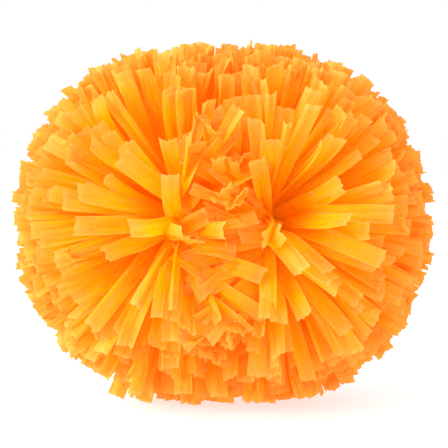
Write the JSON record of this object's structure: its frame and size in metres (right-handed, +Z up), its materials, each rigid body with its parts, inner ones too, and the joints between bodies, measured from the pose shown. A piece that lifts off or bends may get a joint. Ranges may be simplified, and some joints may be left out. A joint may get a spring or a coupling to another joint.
{
  "type": "cheer pom pom",
  "caption": "Fluffed two-burst cheer pom pom of slit orange plastic film, tied round the two necks of a hidden baton handle.",
  "frame": {"origin": "on the surface the pom rests on, under the middle of the grip", "axes": "+X along the handle, from the left burst to the right one; +Y to the back, where the hand goes in; +Z up"},
  "size_m": [0.36, 0.3132, 0.3076],
  "materials": {
    "film": "satin translucent film, crinkled",
    "grip": "moulded, fine matt",
    "cap": "moulded, semi-gloss",
    "tie": "natural nylon"
  },
  "bodies": {
    "root": {"grip_tube": "grip", "end_cap_left": "cap", "cable_tie_left": "tie", "end_cap_right": "cap", "cable_tie_right": "tie", "streamer_sheet_left_01": "film", "streamer_sheet_left_02": "film", "streamer_sheet_left_03": "film", "streamer_sheet_left_04": "film", "streamer_sheet_left_05": "film", "streamer_sheet_left_06": "film", "streamer_sheet_left_07": "film", "streamer_sheet_left_08": "film", "streamer_sheet_left_09": "film", "streamer_sheet_left_10": "film", "streamer_sheet_left_11": "film", "streamer_sheet_left_12": "film", "streamer_sheet_left_13": "film", "streamer_sheet_left_14": "film", "streamer_sheet_left_15": "film", "streamer_sheet_left_16": "film", "streamer_sheet_right_01": "film", "streamer_sheet_right_02": "film", "streamer_sheet_right_03": "film", "streamer_sheet_right_04": "film", "streamer_sheet_right_05": "film", "streamer_sheet_right_06": "film", "streamer_sheet_right_07": "film", "streamer_sheet_right_08": "film", "streamer_sheet_right_09": "film", "streamer_sheet_right_10": "film", "streamer_sheet_right_11": "film", "streamer_sheet_right_12": "film", "streamer_sheet_right_13": "film", "streamer_sheet_right_14": "film", "streamer_sheet_right_15": "film", "streamer_sheet_right_16": "film"}
  },
  "joints": []
}
